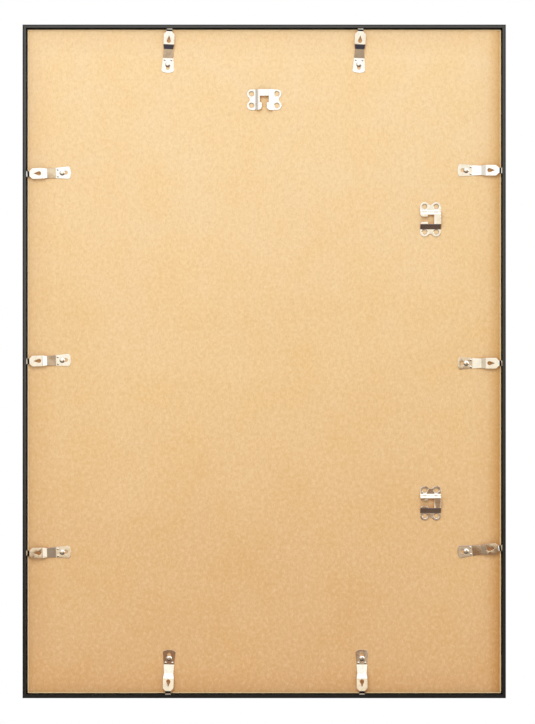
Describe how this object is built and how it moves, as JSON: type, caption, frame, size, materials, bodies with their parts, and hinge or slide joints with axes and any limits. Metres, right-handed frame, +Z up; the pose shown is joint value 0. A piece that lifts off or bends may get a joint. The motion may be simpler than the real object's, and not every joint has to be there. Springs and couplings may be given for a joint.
{
  "type": "picture frame",
  "caption": "Portrait picture frame modelled from its back: black rails, hardboard back held by turning spring clips, and wall hangers for portrait or landscape.",
  "frame": {"origin": "on the board's back face, straight behind the edge of the top hanger's window that bears on a wall screw", "axes": "+Z up in portrait, +X to the right as seen from the back, +Y from the back to the front"},
  "size_m": [0.508, 0.016, 0.708],
  "materials": {
    "rail_black": "satin black extrusion",
    "key_steel": "zinc-plated, hidden",
    "board_tan": "bare hardboard with fine fibre",
    "insert_paper": "plain uncoated sheet",
    "glazing_clear": "clear",
    "plated_steel": "bright nickel plate"
  },
  "bodies": {
    "frame": {"rail_top": "rail_black", "rail_bottom": "rail_black", "rail_left": "rail_black", "rail_right": "rail_black", "corner_key_top_left": "key_steel", "corner_key_top_right": "key_steel", "corner_key_bottom_left": "key_steel", "corner_key_bottom_right": "key_steel", "backing_board": "board_tan", "paper_insert": "insert_paper", "glazing_sheet": "glazing_clear", "rivet_top_left": "plated_steel", "rivet_top_right": "plated_steel", "rivet_bottom_left": "plated_steel", "rivet_bottom_right": "plated_steel", "rivet_left_upper": "plated_steel", "rivet_left_middle": "plated_steel", "rivet_left_lower": "plated_steel", "rivet_right_upper": "plated_steel", "rivet_right_middle": "plated_steel", "rivet_right_lower": "plated_steel", "hanger_top": "plated_steel", "hanger_right_upper": "plated_steel", "hanger_right_lower": "plated_steel"},
    "clip_top_left": {"clip_top_left": "plated_steel"},
    "clip_top_right": {"clip_top_right": "plated_steel"},
    "clip_bottom_left": {"clip_bottom_left": "plated_steel"},
    "clip_bottom_right": {"clip_bottom_right": "plated_steel"},
    "clip_left_upper": {"clip_left_upper": "plated_steel"},
    "clip_left_middle": {"clip_left_middle": "plated_steel"},
    "clip_left_lower": {"clip_left_lower": "plated_steel"},
    "clip_right_upper": {"clip_right_upper": "plated_steel"},
    "clip_right_middle": {"clip_right_middle": "plated_steel"},
    "clip_right_lower": {"clip_right_lower": "plated_steel"}
  },
  "joints": [
    {"name": "turn_top_left", "type": "hinge", "parent": "frame", "child": "clip_top_left", "pos_m": [-0.1014, 0, 0.0335], "axis": [0, -1, 0], "continuous": true},
    {"name": "turn_top_right", "type": "hinge", "parent": "frame", "child": "clip_top_right", "pos_m": [0.0997, 0, 0.0335], "axis": [0, -1, 0], "continuous": true},
    {"name": "turn_bottom_left", "type": "hinge", "parent": "frame", "child": "clip_bottom_left", "pos_m": [-0.1001, 0, -0.5915], "axis": [0, -1, 0], "continuous": true},
    {"name": "turn_bottom_right", "type": "hinge", "parent": "frame", "child": "clip_bottom_right", "pos_m": [0.1027, 0, -0.5915], "axis": [0, -1, 0], "continuous": true},
    {"name": "turn_left_upper", "type": "hinge", "parent": "frame", "child": "clip_left_upper", "pos_m": [-0.2125, 0, -0.0806], "axis": [0, -1, 0], "continuous": true},
    {"name": "turn_left_middle", "type": "hinge", "parent": "frame", "child": "clip_left_middle", "pos_m": [-0.2125, 0, -0.2778], "axis": [0, -1, 0], "continuous": true},
    {"name": "turn_left_lower", "type": "hinge", "parent": "frame", "child": "clip_left_lower", "pos_m": [-0.2125, 0, -0.4798], "axis": [0, -1, 0], "continuous": true},
    {"name": "turn_right_upper", "type": "hinge", "parent": "frame", "child": "clip_right_upper", "pos_m": [0.2125, 0, -0.078], "axis": [0, -1, 0], "continuous": true},
    {"name": "turn_right_middle", "type": "hinge", "parent": "frame", "child": "clip_right_middle", "pos_m": [0.2125, 0, -0.281], "axis": [0, -1, 0], "continuous": true},
    {"name": "turn_right_lower", "type": "hinge", "parent": "frame", "child": "clip_right_lower", "pos_m": [0.2125, 0, -0.4788], "axis": [0, -1, 0], "continuous": true}
  ]
}
